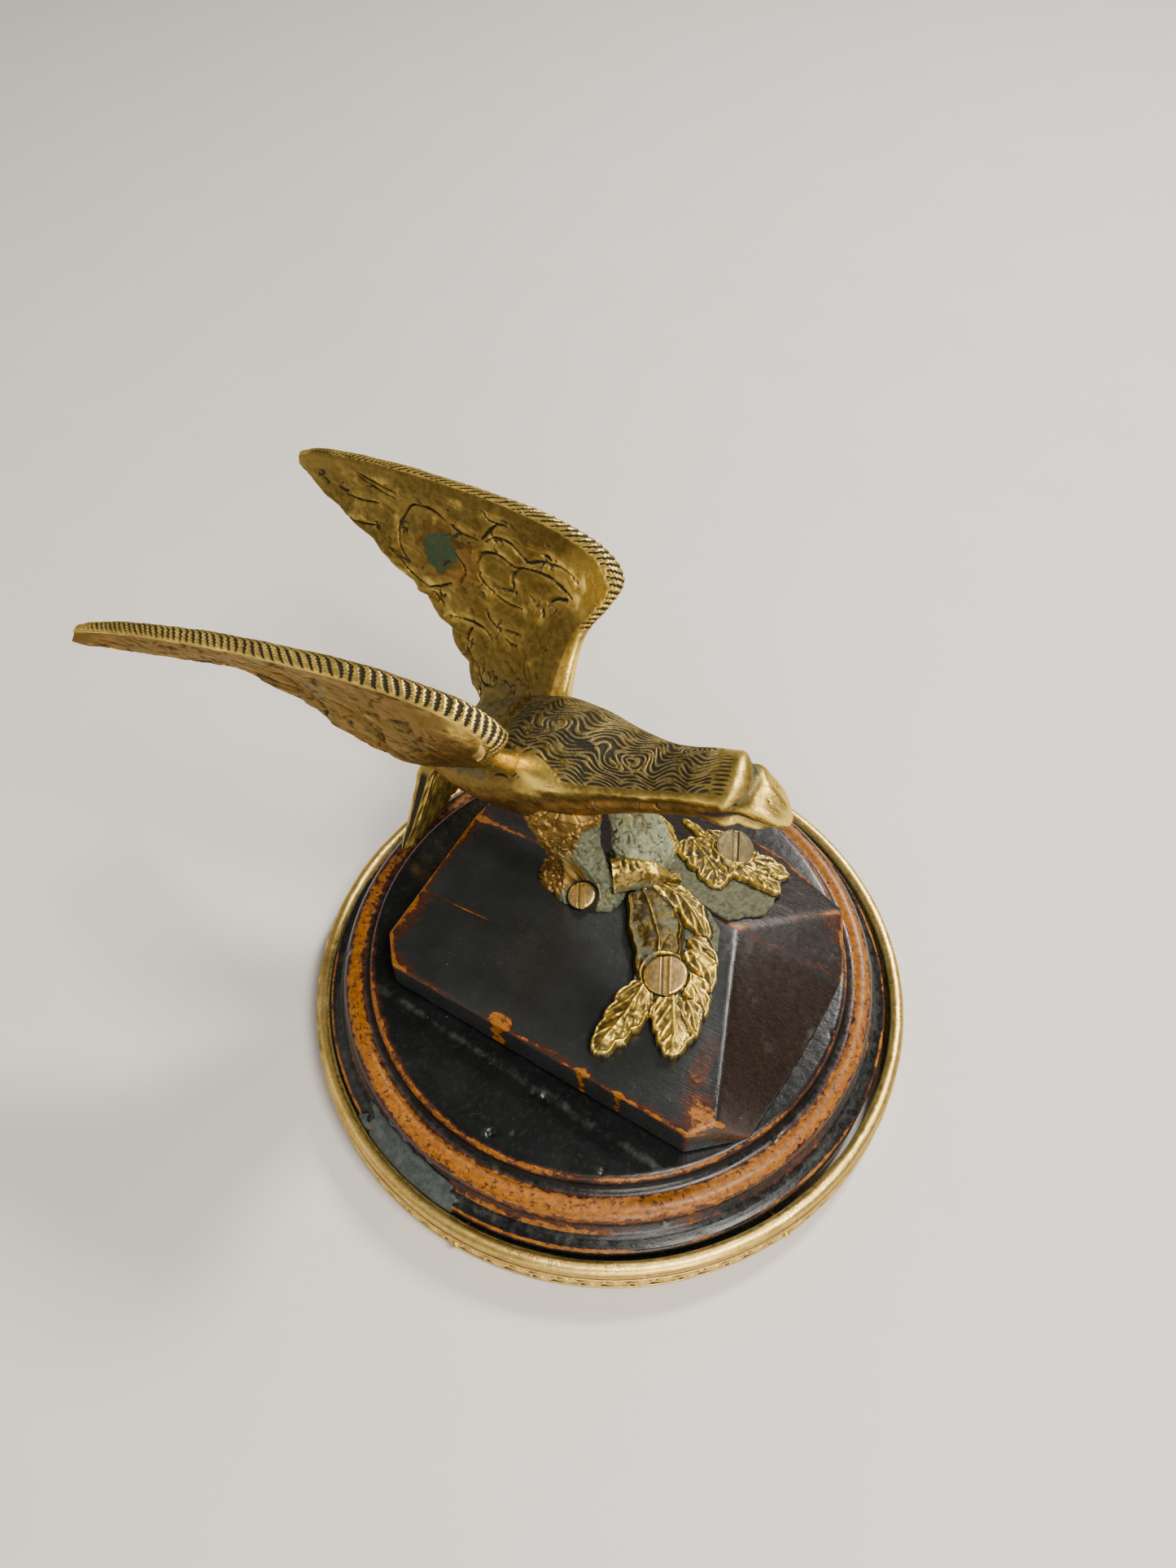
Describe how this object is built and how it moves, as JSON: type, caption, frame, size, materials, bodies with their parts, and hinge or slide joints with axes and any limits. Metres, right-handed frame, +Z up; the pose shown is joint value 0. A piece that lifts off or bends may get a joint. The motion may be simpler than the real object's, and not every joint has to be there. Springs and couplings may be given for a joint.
{
  "type": "hood ornament on a display plinth",
  "caption": "Brass eagle car mascot with raised swept wings, perched on a cut leafy branch and screwed to a faceted wooden rock on a round turned plinth with a brass rim.",
  "frame": {"origin": "centre of the flat underside of the felt pad", "axes": "+X the way the eagle faces, +Y to the eagle's left, +Z up"},
  "size_m": [0.1642, 0.1246, 0.0896],
  "materials": {
    "felt": "worn dark green felt",
    "ebonised_plinth": "ebonised turned wood, satin, worn through to orange on the mouldings",
    "ebonised_rock": "ebonised carved wood, satin, reddish where its edges are rubbed",
    "steel": "old countersunk steel screw",
    "rim_brass": "dull aged brass",
    "eagle_brass": "aged olive-brown brass, engraved, bright on rubbed edges",
    "leg_brass": "brass under a grey-green bloom",
    "branch_brass": "cast brass with bright veins and grey-green recesses",
    "screw_brass": "dull brass screw face with a bright rubbed rim"
  },
  "bodies": {
    "root": {"base_pad": "felt", "plinth": "ebonised_plinth", "rock_block": "ebonised_rock", "rock_screw_1": "steel", "rock_screw_2": "steel", "rim_band": "rim_brass", "rim_bead": "rim_brass", "rim_pin_1": "rim_brass", "rim_pin_2": "rim_brass", "rim_pin_3": "rim_brass", "rim_pin_4": "rim_brass", "rim_pin_5": "rim_brass", "rim_pin_6": "rim_brass", "eagle_body": "eagle_brass", "left_wing": "eagle_brass", "right_wing": "eagle_brass", "tail_fan": "eagle_brass", "right_leg": "leg_brass", "left_leg": "leg_brass", "branch_stem": "branch_brass", "front_spray": "branch_brass", "rear_spray": "branch_brass", "front_screw": "screw_brass", "rear_screw": "screw_brass", "foot_screw": "screw_brass"}
  },
  "joints": []
}
